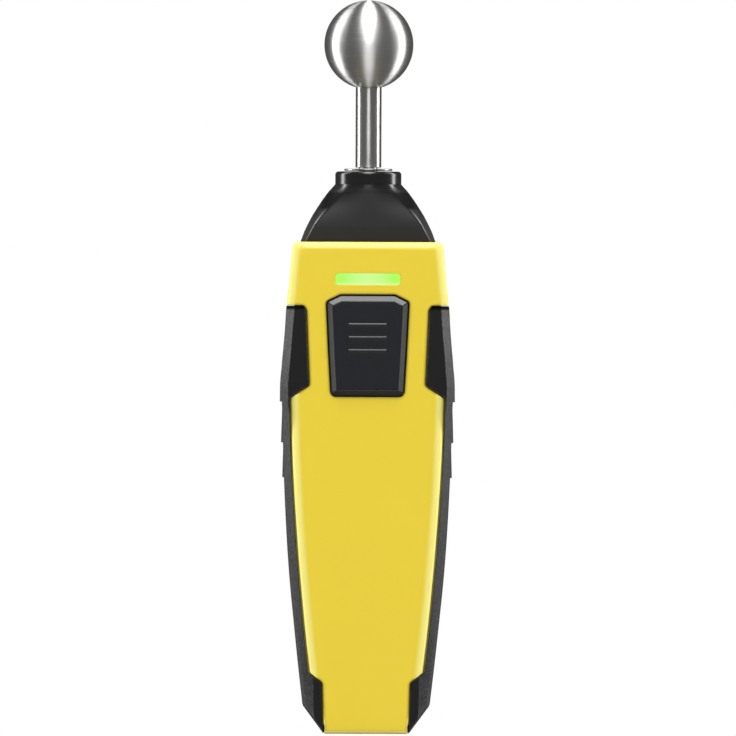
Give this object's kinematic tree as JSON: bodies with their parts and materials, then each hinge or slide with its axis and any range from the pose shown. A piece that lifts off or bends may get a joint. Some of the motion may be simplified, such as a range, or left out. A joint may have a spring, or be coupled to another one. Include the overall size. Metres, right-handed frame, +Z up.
{
  "type": "moisture meter",
  "caption": "Hand-held building moisture meter: ball electrode on a rod, tapered nose, two-part housing with side grips, one ribbed key, a light bar and a battery bay",
  "frame": {"origin": "centre of the flat bottom end, on the axis of the electrode rod", "axes": "+Z up the long axis to the ball, -Y the front with the key and the light bar, +Y the flat back, +X the right side seen from the front"},
  "size_m": [0.0446, 0.0266, 0.1869],
  "materials": {
    "yellow_plastic": "moulded, fine satin grain",
    "black_plastic": "moulded, satin",
    "grip_rubber": "soft-touch, fine grain",
    "key_plastic": "moulded, satin",
    "brushed_steel": "turned and brushed stainless",
    "nickel_plate": "nickel plated spring steel",
    "tinned_steel": "tinned sheet steel",
    "white_nylon": "natural nylon",
    "seal_rubber": "nitrile rubber",
    "board_green": "glass-epoxy board with solder mask",
    "chip_black": "moulded epoxy",
    "light_window": "translucent, lit green from behind",
    "led_body": "clear-over-white LED body",
    "part_ceramic": "ceramic capacitor body",
    "cell_wrap": "printed film sleeve, no print",
    "red_wire": "PVC insulation",
    "black_wire": "PVC insulation",
    "screw_steel": "black zinc plated steel"
  },
  "bodies": {
    "housing": {"ball_electrode": "brushed_steel", "board_screw_1": "screw_steel", "board_screw_2": "screw_steel", "board_screw_3": "screw_steel", "board_screw_4": "screw_steel", "capacitor_1": "part_ceramic", "capacitor_2": "part_ceramic", "capacitor_3": "part_ceramic", "capacitor_4": "part_ceramic", "cell_left": "cell_wrap", "cell_right": "cell_wrap", "contact_bridge": "nickel_plate", "contact_negative": "nickel_plate", "contact_positive": "nickel_plate", "controller_chip": "chip_black", "crystal_can": "tinned_steel", "electrode_lead": "red_wire", "electrode_rod": "brushed_steel", "flange_washer": "brushed_steel", "front_cover": "yellow_plastic", "housing_screw_1": "screw_steel", "housing_screw_2": "screw_steel", "housing_screw_3": "screw_steel", "housing_screw_4": "screw_steel", "housing_screw_5": "screw_steel", "insulating_bush": "white_nylon", "left_grip": "grip_rubber", "light_window": "light_window", "lower_spring": "nickel_plate", "main_board": "board_green", "negative_lead": "black_wire", "nose_cone": "black_plastic", "oscillator_shield": "tinned_steel", "positive_lead": "red_wire", "radio_board": "board_green", "radio_shield": "tinned_steel", "rear_cover": "black_plastic", "resistor_1": "chip_black", "resistor_2": "chip_black", "resistor_3": "chip_black", "resistor_4": "chip_black", "right_grip": "grip_rubber", "ring_terminal": "tinned_steel", "rod_nut": "nickel_plate", "sealing_ring": "seal_rubber", "status_led_left": "led_body", "status_led_middle": "led_body", "status_led_right": "led_body", "switch_base": "chip_black", "switch_cover": "tinned_steel", "upper_spring": "nickel_plate"},
    "key": {"key_cap": "key_plastic"},
    "plunger": {"switch_plunger": "chip_black"},
    "door": {"battery_door": "black_plastic"}
  },
  "joints": [
    {"name": "key_press", "type": "slide", "parent": "housing", "child": "key", "axis": [0, 1, 0], "range_m": [0, 0.0005]},
    {"name": "plunger_press", "type": "slide", "parent": "housing", "child": "plunger", "axis": [0, 1, 0], "range_m": [0, 0.0005]},
    {"name": "door_hinge", "type": "hinge", "parent": "housing", "child": "door", "pos_m": [0, 0.0125, 0.01325], "axis": [-1, 0, 0], "range_deg": [0, 75]}
  ],
  "couplings": [
    {"joint": "plunger_press", "follows": "key_press", "ratio": 1}
  ]
}
